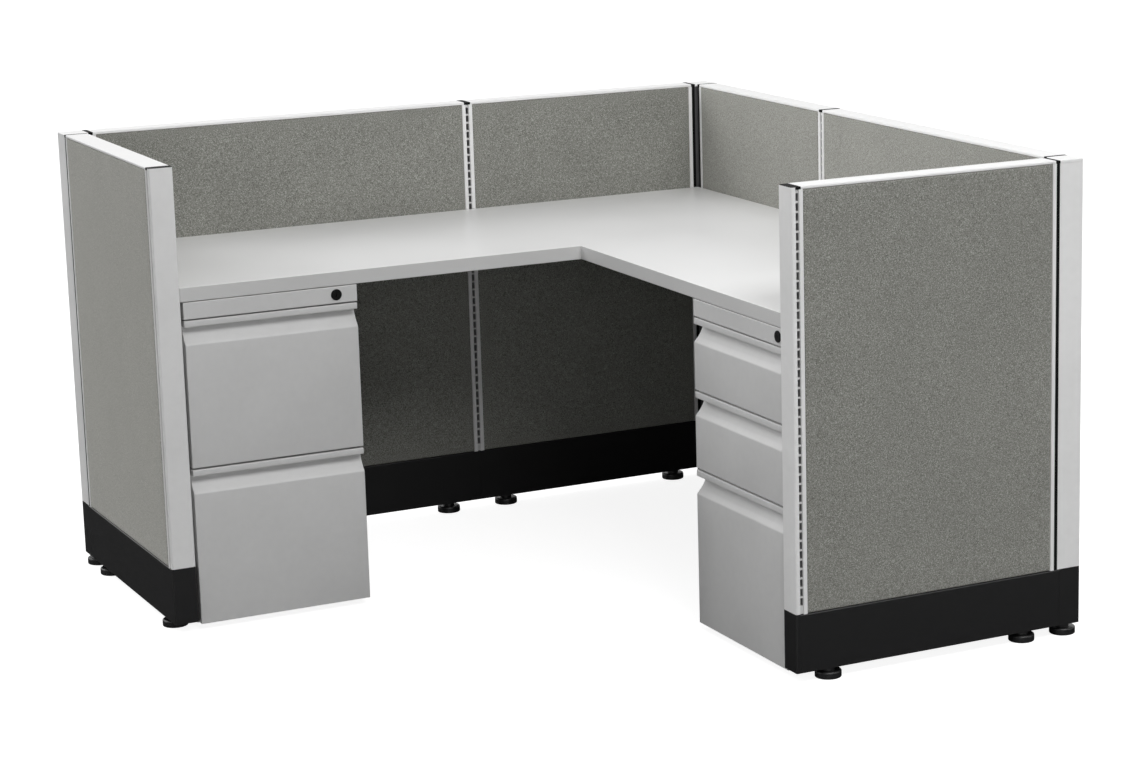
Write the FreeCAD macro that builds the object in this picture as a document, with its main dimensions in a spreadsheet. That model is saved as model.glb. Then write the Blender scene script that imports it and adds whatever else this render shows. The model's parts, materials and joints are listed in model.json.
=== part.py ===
import FreeCAD, Part
import os
import Sketcher
from FreeCAD import Vector, Rotation, Placement

# Cubicle workstation: six low fabric panels in a U with two short wings, an
# L-shaped worksurface hung between them, and two drawer pedestals below it.
# Frame: +X to the right along the back wall, +Y to the back, +Z up, origin on
# the floor at the centre of the footprint. All sizes in millimetres.

os.makedirs("parts", exist_ok=True)
doc = FreeCAD.newDocument("cubicle_workstation")
sheet = doc.addObject("Spreadsheet::Sheet", "Dims")


class Q:
    """A size: its number, and the sheet expression that gives it."""

    def __init__(self, v, e):
        self.v = float(v)
        self.e = e

    def __add__(self, o):
        o = q(o)
        return Q(self.v + o.v, "(%s + %s)" % (self.e, o.e))

    def __radd__(self, o):
        return q(o) + self

    def __sub__(self, o):
        o = q(o)
        return Q(self.v - o.v, "(%s - %s)" % (self.e, o.e))

    def __rsub__(self, o):
        return q(o) - self

    def __mul__(self, o):
        o = q(o)
        return Q(self.v * o.v, "(%s * %s)" % (self.e, o.e))

    def __rmul__(self, o):
        return q(o) * self

    def __truediv__(self, o):
        o = q(o)
        return Q(self.v / o.v, "(%s / %s)" % (self.e, o.e))

    def __neg__(self):
        return Q(-self.v, "(0 - %s)" % self.e)


def q(x):
    if isinstance(x, Q):
        return x
    x = float(x)
    return Q(x, "%.6g" % x if x >= 0 else "(0 - %.6g)" % -x)


row_no = [0]


def dim(alias, value, note):
    row_no[0] += 1
    r = row_no[0]
    sheet.set("A%d" % r, note)
    sheet.set("B%d" % r, str(value))
    sheet.setAlias("B%d" % r, alias)
    return Q(value, "Dims." + alias)


# ---------------------------------------------------------------- sizes
room = dim("interior", 1524.0, "clear width and depth between panel faces")
pt = dim("panel_thk", 50.8, "panel and corner post thickness")
len24 = dim("panel_short", 609.6, "nominal length of the short panels")
len36 = dim("panel_long", 914.4, "nominal length of the long panels")
height = dim("overall_height", 990.6, "floor to top of the top caps")
cap_t = dim("cap_thk", 5.6, "height of the top cap's side band")
base_top = dim("base_top", 144.5, "top edge of the base covers")
base_bot = dim("base_bottom", 24.6, "lower edge of the base covers")
base_t = dim("base_cover_thk", 11.0, "thickness of a base cover shell")
strip_w = dim("strip_width", 8.8, "width of the bare frame strip beside the fabric")
groove_h = dim("groove_half", 4.0, "half the width of the slotted groove")
post_edge = dim("post_cover_past", 5.0, "post cover past the nominal panel end")
free_edge = dim("end_trim_gap", 0.2, "end trim inner face before the nominal panel end")
skin_t = dim("skin_thk", 15.0, "thickness of a fabric covered board")
up_w = dim("upright_width", 26.0, "width of a frame upright")
foot_z = dim("foot_rail_bottom", 30.0, "lower face of the frame foot rail")
std_in = dim("standard_recess", 3.0, "depth of the slotted face below the panel face")
slot_pitch = dim("slot_pitch", 19.05, "pitch of the hanging slots")
slot_n = dim("slot_count", 43, "slots in one standard")
slot_w = dim("slot_width", 6.8, "slot width")
slot_hh = dim("slot_height", 15.0, "slot height")
slot_z0 = dim("slot_first", 170.0, "centre height of the lowest slot")
trim_t = dim("end_trim_out", 9.6, "end trim outer face beyond the nominal panel end")
cover_t = dim("post_cover_thk", 3.5, "corner post cover thickness")
glide_r = dim("glide_radius", 27.0, "radius of a panel levelling glide")
glide_hh = dim("glide_height", 15.0, "height of a glide foot")
glide_in = dim("glide_inset", 75.5, "glide centre from the nominal panel end")
ws_top = dim("worksurface_top", 736.6, "height of the worksurface")
ws_t = dim("worksurface_thk", 30.0, "worksurface thickness")
ws_gap = dim("worksurface_back_gap", 1.0, "worksurface to panel face")
ws_end = dim("worksurface_end_gap", 2.0, "worksurface end to wing panel")
ws_d = dim("worksurface_depth", 608.0, "depth of each run")
ped_w = dim("pedestal_width", 381.0, "pedestal width")
rail_gap = dim("rail_gap", 1.6, "reveal between the lock rail and the worksurface")
ped_z = dim("pedestal_bottom", 12.0, "underside of the pedestal case")
case_d = dim("case_depth", 544.0, "depth of the case behind the drawer fronts")
case_t = dim("case_wall", 2.0, "case sheet and hem thickness")
front_t = dim("front_thk", 24.0, "drawer front thickness at the pull")
front_gap = dim("front_gap", 2.0, "clearance behind a drawer front")
side_gap = dim("front_side_gap", 0.8, "drawer front short of the case side")
rail_z = dim("lock_rail_bottom", 669.0, "lower edge of the lock rail")
lip_hh = dim("pull_lip", 13.5, "height of the pull lip")
pull_hh = dim("pull_height", 51.0, "lip and recess together")
pull_d = dim("pull_depth", 21.5, "depth of the pull recess")
row_gap = dim("drawer_gap", 4.0, "gap between drawer fronts")
top_z = dim("drawer_top", 666.0, "top edge of the uppermost drawer front")
mid_z = dim("box_drawer_bottom", 515.0, "lower edge of the upper box drawer front")
low_z = dim("file_drawer_bottom", 353.0, "lower edge of the fronts above the file drawer")
bot_z = dim("lowest_front_bottom", 15.0, "lower edge of the lowest fronts")
box_gap = dim("slide_space", 13.0, "space beside a drawer box for its slide")
box_d = dim("drawer_box_depth", 520.0, "depth of a drawer box")
box_t = dim("drawer_wall", 1.6, "drawer box wall")
box_lift = dim("drawer_box_lift", 14.0, "drawer box above the lower edge of its front")
shallow = dim("box_side_shallow", 92.0, "side height of a box drawer")
deep = dim("box_side_deep", 246.0, "side height of a file drawer")
slide_len = dim("slide_length", 508.0, "length of each slide member")
slide_t = dim("slide_sheet", 1.5, "slide member sheet thickness")
lock_r = dim("lock_head_radius", 11.8, "lock face radius")
lock_b = dim("lock_barrel_radius", 9.9, "lock barrel radius")
lock_hole = dim("lock_hole_radius", 10.0, "hole for the lock barrel")
lock_z = dim("lock_height", 687.7, "height of the lock axis")
lock_xl = dim("lock_left_x", 334.4, "left pedestal: lock from the left side")
lock_xr = dim("lock_right_x", 357.0, "right pedestal: lock from the left side")
crank = dim("crank_offset", 4.0, "lock pin from the lock axis, across and up")
pin_r = dim("crank_pin_radius", 1.5, "lock pin radius")
bar_t = dim("gang_bar_thk", 1.6, "gang bar thickness")
lug_w = dim("gang_lug_reach", 8.6, "gang bar lugs from the outer face of the bar")
catch_z = dim("catch_height", 78.0, "drawer catch above the lower edge of its front")
br_t = dim("bracket_sheet", 3.0, "bracket steel thickness")
br_len = dim("bracket_reach", 470.0, "cantilever bracket reach")
scr_r = dim("screw_radius", 2.0, "wood screw shank radius")
pg_r = dim("pedestal_glide_radius", 15.0, "pedestal glide radius")
doc.recompute()

half = room / 2
outer = half + pt
cap_z = height - cap_t
nodes = []


# ---------------------------------------------------------------- builders
def bind(obj, path, val):
    """Give a property its number and, where it has one, its expression."""
    val = q(val)
    if "Dims." in val.e:
        obj.setExpression(path, val.e)
    return val.v


def body(label, pos=(0, 0, 0), yaw=0.0):
    b = doc.addObject("PartDesign::Body", label)
    b.Label = label
    px, py, pz = [q(c) for c in pos]
    b.Placement = Placement(Vector(px.v, py.v, pz.v), Rotation(Vector(0, 0, 1), yaw))
    for ax, c in (("x", px), ("y", py), ("z", pz)):
        if "Dims." in c.e:
            b.setExpression(".Placement.Base." + ax, c.e)
    return b


def plane(b, role):
    for f in b.Origin.OriginFeatures:
        if f.Role == role:
            return f
    raise ValueError(role)


PLANES = {"x": ("YZ_Plane", 1), "y": ("XZ_Plane", -1), "z": ("XY_Plane", 1)}


def new_sketch(b, name, axis, start):
    role, sign = PLANES[axis]
    sk = b.newObject("Sketcher::SketchObject", name)
    sk.AttachmentSupport = [(plane(b, role), "")]
    sk.MapMode = "FlatFace"
    s = q(start)
    s = s if sign > 0 else -s
    sk.AttachmentOffset = Placement(Vector(0, 0, s.v), Rotation())
    if "Dims." in s.e:
        sk.setExpression(".AttachmentOffset.Base.z", s.e)
    return sk


def pin(sk, g, p, x, y):
    """Fix a point of the sketch at x, y with dimensions from the origin."""
    x, y = q(x), q(y)
    for kind, val, axis_line in (("DistanceX", x, -2), ("DistanceY", y, -1)):
        if abs(val.v) < 1e-9:
            sk.addConstraint(Sketcher.Constraint("PointOnObject", g, p, axis_line))
        else:
            i = sk.addConstraint(Sketcher.Constraint(kind, -1, 1, g, p, val.v))
            if "Dims." in val.e:
                sk.setExpression("Constraints[%d]" % i, val.e)


def polygon(sk, pts):
    pts = [(q(a), q(b)) for a, b in pts]
    first = sk.GeometryCount
    n = len(pts)
    lines = []
    for i in range(n):
        a, b = pts[i], pts[(i + 1) % n]
        lines.append(Part.LineSegment(Vector(a[0].v, a[1].v, 0), Vector(b[0].v, b[1].v, 0)))
    sk.addGeometry(lines, False)
    for i in range(n):
        sk.addConstraint(Sketcher.Constraint("Coincident", first + i, 2, first + (i + 1) % n, 1))
    for i in range(n):
        pin(sk, first + i, 1, pts[i][0], pts[i][1])


def rect(x0, x1, y0, y1):
    return [(x0, y0), (x1, y0), (x1, y1), (x0, y1)]


def circle(sk, x, y, r):
    x, y, r = q(x), q(y), q(r)
    g = sk.addGeometry(Part.Circle(Vector(x.v, y.v, 0), Vector(0, 0, 1), r.v), False)
    i = sk.addConstraint(Sketcher.Constraint("Radius", g, r.v))
    if "Dims." in r.e:
        sk.setExpression("Constraints[%d]" % i, r.e)
    pin(sk, g, 3, x, y)


def draw(sk, shapes):
    for s in shapes:
        if s and s[0] == "circle":
            circle(sk, *s[1:])
        else:
            polygon(sk, s)


def add(b, axis, start, length, shapes, name="Pad"):
    """Extrude closed outlines from start along +axis."""
    sk = new_sketch(b, b.Name + "_" + name + "_sketch", axis, start)
    draw(sk, shapes)
    f = b.newObject("PartDesign::Pad", b.Name + "_" + name)
    f.Profile = sk
    f.Length = bind(f, "Length", length)
    f.Reversed = PLANES[axis][1] < 0
    b.Tip = f
    return f


def cut(b, axis, start, length, shapes, name="Pocket"):
    """Remove closed outlines from start along +axis."""
    sk = new_sketch(b, b.Name + "_" + name + "_sketch", axis, start)
    draw(sk, shapes)
    f = b.newObject("PartDesign::Pocket", b.Name + "_" + name)
    f.Profile = sk
    f.Length = bind(f, "Length", length)
    f.Reversed = PLANES[axis][1] > 0
    b.Tip = f
    return f


def rounded(b, radius, test, name="Fillet"):
    """Round the edges of the body's tip that test accepts."""
    doc.recompute()
    base = b.Tip
    edges = []
    for i, e in enumerate(base.Shape.Edges):
        bb = e.BoundBox
        if test(e, bb):
            edges.append("Edge%d" % (i + 1))
    if not edges:
        raise ValueError("no edge to round on " + b.Label)
    f = b.newObject("PartDesign::Fillet", b.Name + "_" + name)
    f.Base = (base, edges)
    f.Radius = bind(f, "Radius", radius)
    b.Tip = f
    return f


def near(a, c, tol=0.01):
    return abs(a - (c.v if isinstance(c, Q) else c)) < tol


def along(bb, ax):
    size = {"x": bb.XLength, "y": bb.YLength, "z": bb.ZLength}
    return size[ax] > 1 and all(v < 0.01 for k, v in size.items() if k != ax)


def group(label, items):
    """One node of several separate bodies."""
    c = doc.addObject("Part::Compound", label)
    c.Label = label
    c.Links = items
    nodes.append(c)
    return c


def copies(label, master, places):
    """One node of identical pieces, set out at the given placements."""
    doc.recompute()
    base = master.Shape.copy()
    base.Placement = Placement()
    shapes = []
    for pl in places:
        s = base.copy()
        s.Placement = pl
        shapes.append(s)
    f = doc.addObject("Part::Feature", label)
    f.Label = label
    f.Shape = Part.makeCompound(shapes)
    f.Placement = Placement()
    nodes.append(f)
    return f


def at(x, y, z=0.0, yaw=0.0):
    vals = [c.v if isinstance(c, Q) else float(c) for c in (x, y, z)]
    return Placement(Vector(*vals), Rotation(Vector(0, 0, 1), yaw))


# ---------------------------------------------------------------- panels
# Local frame of a panel: x along its length between nominal ends, y from the
# inner face (0) to the outer face (panel_thk), z up.
# name, length, inner start corner, yaw
joint_y = half - len24          # where the short side panels end
joint_x = half - len24
PANELS = [
    ("left_wing", len24, (-half, joint_y, 0), 90.0),
    ("back_left", len36, (-half, half, 0), 0.0),
    ("back_right", len24, (joint_x, half, 0), 0.0),
    ("right_rear", len24, (half, half, 0), -90.0),
    ("right_front", len36, (half, joint_y, 0), -90.0),
    ("right_wing", len24, (half, -half, 0), 180.0),
]

core0 = skin_t                      # frame core between the two boards
core1 = pt - skin_t
s0 = groove_h                           # panel edge from a line joint,
at_post = post_edge + 2 * groove_h      # from a corner post,
at_free = 2 * groove_h - free_edge      # and from a free end
EDGES = {"left_wing": (at_free, at_post), "back_left": (at_post, s0), "back_right": (s0, at_post),
         "right_rear": (at_post, s0), "right_front": (s0, at_post), "right_wing": (at_post, at_free)}
cap_in = {s0: q(4.0), at_post: q(2.0), at_free: q(4.0)}     # top cap short of the panel edge


def panel(name, L, pos, yaw):
    # Welded steel frame: two uprights with bare edge strips, a head rail, a
    # raceway rail, a foot rail with threaded bores for the glides, and a sheet
    # steel septum between the two boards.
    b = body(name + "_frame", pos, yaw)
    ea, eb = EDGES[name]
    tee = lambda x0, x1, x2: [(x0, 0), (x1, 0), (x1, core0), (x2, core0),
                              (x2, core1), (x1, core1), (x1, pt), (x0, pt)]
    left = tee(ea, ea + strip_w, ea + up_w)
    right = tee(L - eb, L - eb - strip_w, L - eb - up_w)
    between = lambda z0, z1: rect(ea + up_w - 4, L - eb - up_w + 4, z0, z1)
    add(b, "z", base_top, cap_z - base_top, [left, right], "Uprights")
    add(b, "y", core0, pt - 2 * skin_t, [
        rect(ea, ea + up_w, foot_z, base_top + 5),
        rect(L - eb - up_w, L - eb, foot_z, base_top + 5)], "Legs")
    add(b, "y", core0, pt - 2 * skin_t, [
        between(cap_z - 40, cap_z - 2)], "Head_rail")
    add(b, "y", core0, pt - 2 * skin_t, [
        between(base_top - 22, base_top + 5)], "Raceway_rail")
    add(b, "y", core0, pt - 2 * skin_t, [
        between(foot_z, foot_z + 26)], "Foot_rail")
    add(b, "y", pt / 2 - 0.5, q(1.0), [
        between(base_top, cap_z - 10)], "Septum")
    cut(b, "x", ea, L - ea - eb, [rect(pt / 2 - 7, pt / 2 + 7, foot_z + 34, base_top - 28)], "Cable_ways")
    cut(b, "z", foot_z, 20.0, [("circle", glide_in, pt / 2, 5.0),
                               ("circle", L - glide_in, pt / 2, 5.0)], "Glide_bores")
    rounded(b, 1.0, lambda e, bb: along(bb, "z") and bb.ZLength > 500 and
            (near(bb.YMin, 0) or near(bb.YMin, pt)), "Strip_edges")
    nodes.append(b)
    # Two fabric covered boards with softened outer edges.
    skins = []
    for side, y0 in (("inner", q(0)), ("outer", pt - skin_t)):
        k = body(name + "_" + side + "_skin", pos, yaw)
        add(k, "z", base_top + 1, cap_z - base_top - 1.6, [rect(ea + strip_w + 0.3, L - eb - strip_w - 0.3, y0, y0 + skin_t)], "Board")
        face = 0.0 if side == "inner" else pt.v
        rounded(k, 2.0, lambda e, bb: near(bb.YMin, face) and near(bb.YMax, face) and
                (along(bb, "x") or along(bb, "z")), "Edges")
        skins.append(k)
    group(name + "_skins", skins)
    # Extruded top cap.
    c = body(name + "_top_cap", pos, yaw)
    add(c, "x", ea + cap_in[ea], L - ea - eb - cap_in[ea] - cap_in[eb], [rect(0, pt, cap_z, height)], "Extrusion")
    rounded(c, 2.2, lambda e, bb: along(bb, "x") and near(bb.ZMin, height), "Upper_edges")
    rounded(c, 1.4, lambda e, bb: along(bb, "x") and near(bb.ZMin, cap_z), "Lower_edges")
    nodes.append(c)
    # Two snap-on base covers with the cable raceway between them.
    covers = []
    for side, y0 in (("inner", q(0)), ("outer", pt - base_t)):
        k = body(name + "_" + side + "_base_cover", pos, yaw)
        add(k, "x", q(0.2), L - 0.4, [rect(y0, y0 + base_t, base_bot, base_top)], "Shell")
        face = 0.0 if side == "inner" else pt.v
        rounded(k, 2.5, lambda e, bb: along(bb, "x") and near(bb.YMin, face) and
                near(bb.ZMin, base_top), "Top_edge")
        covers.append(k)
    group(name + "_base_covers", covers)


for p in PANELS:
    panel(*p)

# ---------------------------------------------------------------- corners
# Local frame of a corner: origin at the inner corner, x and y outward.
CORNERS = [("rear_left", (-half, half, 0), 90.0),
           ("rear_right", (half, half, 0), 0.0),
           ("front_right", (half, -half, 0), -90.0)]
posts, pcovers, pcaps, pbases = [], [], [], []
leg0 = -post_edge
core_in = groove_h
core_out = pt - cover_t
for name, pos, yaw in CORNERS:
    b = body(name + "_post", pos, yaw)
    add(b, "z", foot_z, cap_z - foot_z, [[(leg0, core_in), (core_in, core_in), (core_in, leg0),
        (core_out, leg0), (core_out, core_out), (leg0, core_out)]], "Column")
    cut(b, "z", foot_z, base_top - foot_z + 0.5, [rect(leg0 - 1, pt + 1, leg0 - 1, pt + 1),
        rect(core_in, pt - base_t, core_in, pt - base_t)], "Foot_relief")
    cut(b, "z", foot_z, 20.0, [("circle", pt / 2, pt / 2, 5.0)], "Glide_bore")
    posts.append(b)
    k = body(name + "_post_cover", pos, yaw)
    add(k, "z", base_top + 1, cap_z - base_top - 1.4, [[
        (leg0, core_out), (core_out, core_out), (core_out, leg0),
        (pt, leg0), (pt, pt), (leg0, pt)]], "Angle")
    rounded(k, 3.0, lambda e, bb: along(bb, "z") and near(bb.XMin, pt) and near(bb.YMin, pt), "Corner")
    rounded(k, 1.2, lambda e, bb: along(bb, "z") and
            ((near(bb.XMin, leg0) and near(bb.YMin, pt)) or (near(bb.YMin, leg0) and near(bb.XMin, pt))), "Edges")
    pcovers.append(k)
    c = body(name + "_post_cap", pos, yaw)
    pc = leg0 + 0.6
    add(c, "z", cap_z, cap_t, [[(pc, 0), (0, 0), (0, pc), (pt, pc), (pt, pt), (pc, pt)]], "Plate")
    rounded(c, 3.0, lambda e, bb: along(bb, "z") and near(bb.XMin, pt) and near(bb.YMin, pt), "Corner")
    rounded(c, 1.6, lambda e, bb: near(bb.ZMin, height) and near(bb.ZMax, height), "Upper_edges")
    pcaps.append(c)
    d = body(name + "_base_cover", pos, yaw)
    lo = q(0.2)
    add(d, "z", base_bot, base_top - base_bot, [[
        (lo, pt - base_t), (pt - base_t, pt - base_t), (pt - base_t, lo),
        (pt, lo), (pt, pt), (lo, pt)]], "Angle")
    rounded(d, 3.0, lambda e, bb: along(bb, "z") and near(bb.XMin, pt) and near(bb.YMin, pt), "Corner")
    pbases.append(d)
group("corner_posts", posts)
group("corner_post_covers", pcovers)
group("corner_post_caps", pcaps)
group("corner_base_covers", pbases)

# ---------------------------------------------------------------- wing ends
# The free end of the left wing is its local x = 0, of the right wing x = L.
trims, ecaps = [], []
for name, pos, yaw in (("left_wing", (-half, joint_y, 0), 90.0),
                       ("right_wing", (joint_x, -half - pt, 0), 0.0)):
    # outward along local -x; y spans the panel's thickness
    t = body(name + "_end_trim", pos, yaw)
    add(t, "z", base_top + 1, height - base_top - 2.2, [rect(-trim_t, -free_edge, 0, pt)], "Strip")
    rounded(t, 4.0, lambda e, bb: along(bb, "z") and near(bb.XMin, -trim_t.v), "Corners")
    trims.append(t)
    d = body(name + "_base_end", pos, yaw)
    add(d, "z", base_bot, base_top - base_bot, [rect(-trim_t, q(0), 0, pt)], "Block")
    rounded(d, 3.0, lambda e, bb: along(bb, "z") and near(bb.XMin, -trim_t.v), "Corners")
    ecaps.append(d)
group("end_trims", trims)
group("base_end_caps", ecaps)

# Black top connectors in the gaps between the caps: masters for a line
# joint, for a corner, with the seals of its two grooves, and for the wing ends.
tc = body("top_connector_line")
add(tc, "z", cap_z, cap_t - 0.3, [rect(-s0 - 3.6, s0 + 3.6, 0.2, pt - 0.2)], "Plate")
tp = body("top_connector_corner")
add(tp, "z", cap_z, cap_t - 0.3, [rect(-at_post - 1.6, -post_edge + 0.2, 0.2, pt - 0.2)], "Plate")
add(tp, "z", base_top + 1, cap_z - base_top - 0.8, [rect(-at_post + 0.2, -post_edge - 0.2, 0.8, std_in - 0.1),
                                                    rect(-at_post + 0.2, -post_edge - 0.2, pt - std_in + 0.1, pt - 0.8)],
    "Seals")
te = body("top_connector_end")
add(te, "z", cap_z, cap_t - 0.5, [rect(-free_edge, at_free + 3.6, 0.2, pt - 0.2)], "Filler")
add(te, "z", height - 1.2, q(0.7), [rect(-trim_t + 0.3, q(0.4), 0.3, pt - 0.3)], "Lid")
rounded(te, 3.6, lambda e, bb: bb.ZLength > 0.5 and bb.XLength < 0.01 and bb.YLength < 0.01 and
        near(bb.XMin, -trim_t.v + 0.3), "Corners")
doc.recompute()
# Nominal joint lines: x, y, yaw of a frame whose y spans the panel, with the
# post towards +x at a corner and the panel towards +x at a free end.
LINES = [(joint_x, half, 0.0), (half, joint_y, -90.0)]
POSTS = [(-half, outer, 180.0), (half, half, 0.0), (outer, half, 90.0),
         (half, -half, -90.0), (half, -outer, 0.0), (-half, half, 90.0)]
ENDS = [(-half, joint_y, 90.0), (joint_x, -half - pt, 0.0)]
conn = []
for m, places in ((tc, LINES), (tp, POSTS), (te, ENDS)):
    base = m.Shape.copy()
    base.Placement = Placement()
    for x, y, yaw in places:
        s = base.copy()
        s.Placement = at(x, y, 0, yaw)
        conn.append(s)
f = doc.addObject("Part::Feature", "top_connectors")
f.Label = "top_connectors"
f.Shape = Part.makeCompound(conn)
f.Placement = Placement()
nodes.append(f)

# Slotted standards in the grooves, where brackets hook in.
st = body("slotted_standard")
std_w = 2 * groove_h
add(st, "z", base_top + 1, cap_z - base_top - 2, [rect(-std_w / 2, std_w / 2, std_in, pt - std_in)], "Bar")
slot = cut(st, "y", q(0), pt, [rect(-slot_w / 2, slot_w / 2, slot_z0 - slot_hh / 2, slot_z0 + slot_hh / 2)], "Slot")
pat = st.newObject("PartDesign::LinearPattern", "slotted_standard_pattern")
pat.Originals = [slot]
pat.Direction = (plane(st, "Z_Axis"), [""])
pat.Length = bind(pat, "Length", slot_pitch * (slot_n - 1))
pat.Occurrences = int(slot_n.v)
pat.setExpression("Occurrences", slot_n.e)
st.Tip = pat
off_post = -(post_edge + groove_h).v
off_free = (groove_h - free_edge).v
copies("slotted_standards", st, [at(x, y, 0, yaw).multiply(at(dx, 0)) for group_, dx in
                                 ((LINES, 0.0), (POSTS, off_post), (ENDS, off_free)) for x, y, yaw in group_])

# Levelling glides, two under each panel and one under each post: a foot with
# rounded rims, a collar against the rail, and a threaded stem in its bore.
gl = body("panel_glide")
add(gl, "z", 0, glide_hh, [("circle", 0, 0, glide_r)], "Foot")
rounded(gl, 3.5, lambda e, bb: near(bb.ZMin, glide_hh) and near(bb.ZMax, glide_hh), "Upper_rim")
rounded(gl, 2.0, lambda e, bb: near(bb.ZMin, 0) and near(bb.ZMax, 0), "Lower_rim")
add(gl, "z", glide_hh - 1, foot_z - glide_hh + 1, [("circle", 0, 0, q(13.5))], "Collar")
add(gl, "z", foot_z - 1, q(17.0), [("circle", 0, 0, q(4.8))], "Stem")
places = []
for name, L, pos, yaw in PANELS:
    fr = at(pos[0], pos[1], 0, yaw)
    for lx in (glide_in, L - glide_in):
        places.append(fr.multiply(at(lx, pt / 2)))
for name, pos, yaw in CORNERS:
    places.append(at(pos[0], pos[1], 0, yaw).multiply(at(pt / 2, pt / 2)))
copies("panel_glides", gl, places)

# ---------------------------------------------------------------- worksurface
# Local frame of the worksurface sketch is the object's own frame.
ws_back = half - ws_gap
ws_front = ws_back - ws_d
ws_left = -half + ws_end
ws_und = ws_top - ws_t
w = body("worksurface")
add(w, "z", ws_und, ws_t, [[
    (ws_left, ws_front), (ws_front, ws_front), (ws_front, ws_left),
    (ws_back, ws_left), (ws_back, ws_back), (ws_left, ws_back)]], "Board")
# screw pilot holes under the brackets
joint_br = joint_x
SCREWS = [(joint_br + 12, half - 120), (joint_br + 12, half - 400),
          (half - 120, joint_y + 12), (half - 400, joint_y + 12),
          (-half + 40, half - 22), (-half + 84, half - 22),
          (half - 22, -half + 84), (half - 22, -half + 40)]
cut(w, "z", ws_und, 14.0, [("circle", x, y, scr_r + 0.05) for x, y in SCREWS], "Pilot_holes")
rounded(w, 3.0, lambda e, bb: along(bb, "z") and bb.ZLength > 20 and not
        (near(bb.XMin, ws_front) and near(bb.YMin, ws_front)), "Corners")
rounded(w, 1.2, lambda e, bb: (near(bb.ZMin, ws_top) and near(bb.ZMax, ws_top)) or
        (near(bb.ZMin, ws_und) and near(bb.ZMax, ws_und) and
         (along(bb, "x") or along(bb, "y"))), "Edge_band")
nodes.append(w)

# Cantilever brackets hooked into the slotted standards at the two joints,
# and short angle brackets at the two ends.
# Local frame: y from the panel face into the room (towards -y), z up, x across.
slot_a = slot_z0 + slot_pitch * 27
slot_b = slot_z0 + slot_pitch * 24
brs = []
for name, pos, yaw in (("back", (joint_x, half, 0), 0.0), ("right", (half, joint_y, 0), -90.0)):
    b = body("cantilever_" + name, pos, yaw)
    add(b, "x", -br_t / 2, br_t, [[
        (-1, ws_und), (-br_len, ws_und), (-br_len, ws_und - 22), (-90, ws_und - 96), (-1, ws_und - 96)]], "Web")
    # flange towards +x on the back wall, towards the rear on the right wall
    fl = rect(-br_t / 2, br_t / 2 + 22, ws_und - br_t, ws_und) if name == "back" else \
        rect(-br_t / 2 - 22, br_t / 2, ws_und - br_t, ws_und)
    add(b, "y", -br_len, br_len - 4, [fl], "Flange")
    add(b, "x", -br_t / 2, br_t, [rect(-1.5, std_in + 5, slot_a - 5, slot_a + 5),
                                  rect(-1.5, std_in + 5, slot_b - 5, slot_b + 5)], "Hooks")
    sx = q(12) if name == "back" else q(-12)
    cut(b, "z", ws_und - br_t, br_t, [("circle", sx, -120, scr_r + 0.3), ("circle", sx, -400, scr_r + 0.3)], "Holes")
    brs.append(b)
for name, pos, yaw in (("left", (-half + 12, half, 0), 0.0), ("front", (half, -half + 112, 0), -90.0)):
    # angle along the wall behind the pedestal, local x along the wall
    b = body("end_bracket_" + name, pos, yaw)
    add(b, "x", q(0), q(100.0), [[(0, ws_und), (-36, ws_und), (-36, ws_und - br_t), (-br_t, ws_und - br_t),
                                  (-br_t, ws_und - 40), (0, ws_und - 40)]], "Angle")
    cut(b, "z", ws_und - br_t, br_t, [("circle", 28, -22, scr_r + 0.3), ("circle", 72, -22, scr_r + 0.3)], "Holes")
    brs.append(b)
group("worksurface_brackets", brs)

sc = body("wood_screw")
add(sc, "z", 0, 16.0, [("circle", 0, 0, scr_r)], "Shank")
add(sc, "z", -2.6, 2.6, [("circle", 0, 0, q(4.2))], "Head")
rounded(sc, 1.4, lambda e, bb: near(bb.ZMin, -2.6) and near(bb.ZMax, -2.6), "Head_edge")
copies("worksurface_screws", sc, [at(x, y, ws_und - br_t) for x, y in SCREWS])

# ---------------------------------------------------------------- pedestals
# Local frame of a pedestal: x across, y from the drawer fronts (0) to the
# back, z up from the floor.
front_line = ws_front
PED = {"left": ((-half + 8, front_line, 0), 0.0), "right": ((front_line, -half + 2 + ped_w, 0), -90.0)}
case_y = front_t + front_gap
DRAWERS = {
    "left": [("upper", low_z, top_z, deep), ("lower", bot_z, low_z - row_gap, deep)],
    "right": [("upper", mid_z, top_z, shallow), ("middle", low_z - row_gap, mid_z - row_gap, shallow),
              ("lower", bot_z, low_z - 2 * row_gap, deep)],
}
slide_y = case_y + 14


def channel(b, side, a0, a1, hh, zc, y0, open_in, name):
    """A sheet C section: a is measured from the case wall towards the drawer."""
    def X(a):
        return case_t + a if side == "l" else ped_w - case_t - a
    a0, a1, hh = q(a0), q(a1), q(hh)
    if open_in:
        pts = [(X(a0), zc - hh), (X(a1), zc - hh), (X(a1), zc - hh + slide_t), (X(a0 + slide_t), zc - hh + slide_t),
               (X(a0 + slide_t), zc + hh - slide_t), (X(a1), zc + hh - slide_t), (X(a1), zc + hh), (X(a0), zc + hh)]
    else:
        pts = [(X(a1), zc - hh), (X(a0), zc - hh), (X(a0), zc - hh + slide_t), (X(a1 - slide_t), zc - hh + slide_t),
               (X(a1 - slide_t), zc + hh - slide_t), (X(a0), zc + hh - slide_t), (X(a0), zc + hh), (X(a1), zc + hh)]
    add(b, "y", y0, slide_len, [pts], name)


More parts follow.
